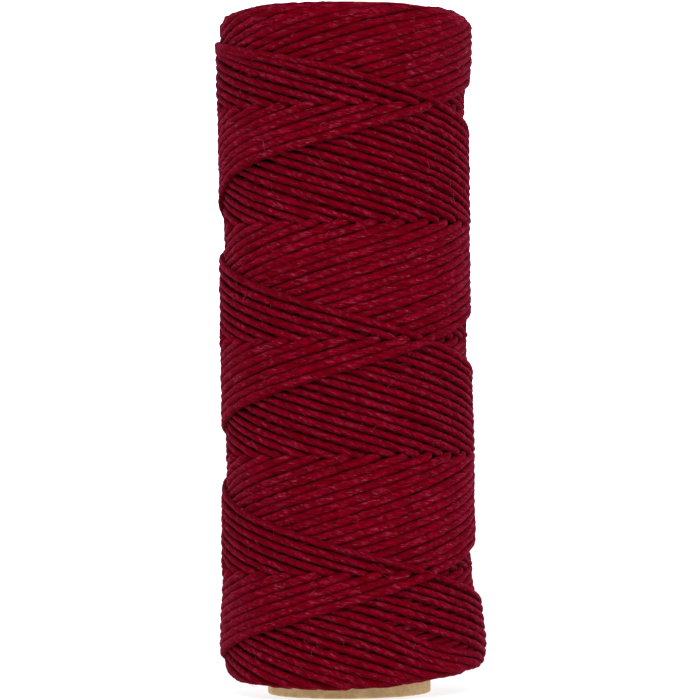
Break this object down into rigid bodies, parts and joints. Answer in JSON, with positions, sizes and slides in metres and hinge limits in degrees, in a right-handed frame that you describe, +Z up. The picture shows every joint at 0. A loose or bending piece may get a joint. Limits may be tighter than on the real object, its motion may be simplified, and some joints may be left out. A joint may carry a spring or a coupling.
{
  "type": "roll of bamboo cord",
  "caption": "Roll of thin twisted cord, cross-wound in helices on a stiff open paper tube that stands on its end.",
  "frame": {"origin": "centre of the paper tube's bottom rim", "axes": "+Z up along the tube's axis, -Y towards the side that the picture shows, +X to its right"},
  "size_m": [0.0404, 0.0396, 0.105],
  "materials": {
    "cord": "soft twisted bamboo fibre with a faint silky sheen",
    "paper_tube": "matt, uncoated, spirally wound kraft paper"
  },
  "bodies": {
    "root": {"core_tube": "paper_tube", "cord_winding": "cord"}
  },
  "joints": []
}
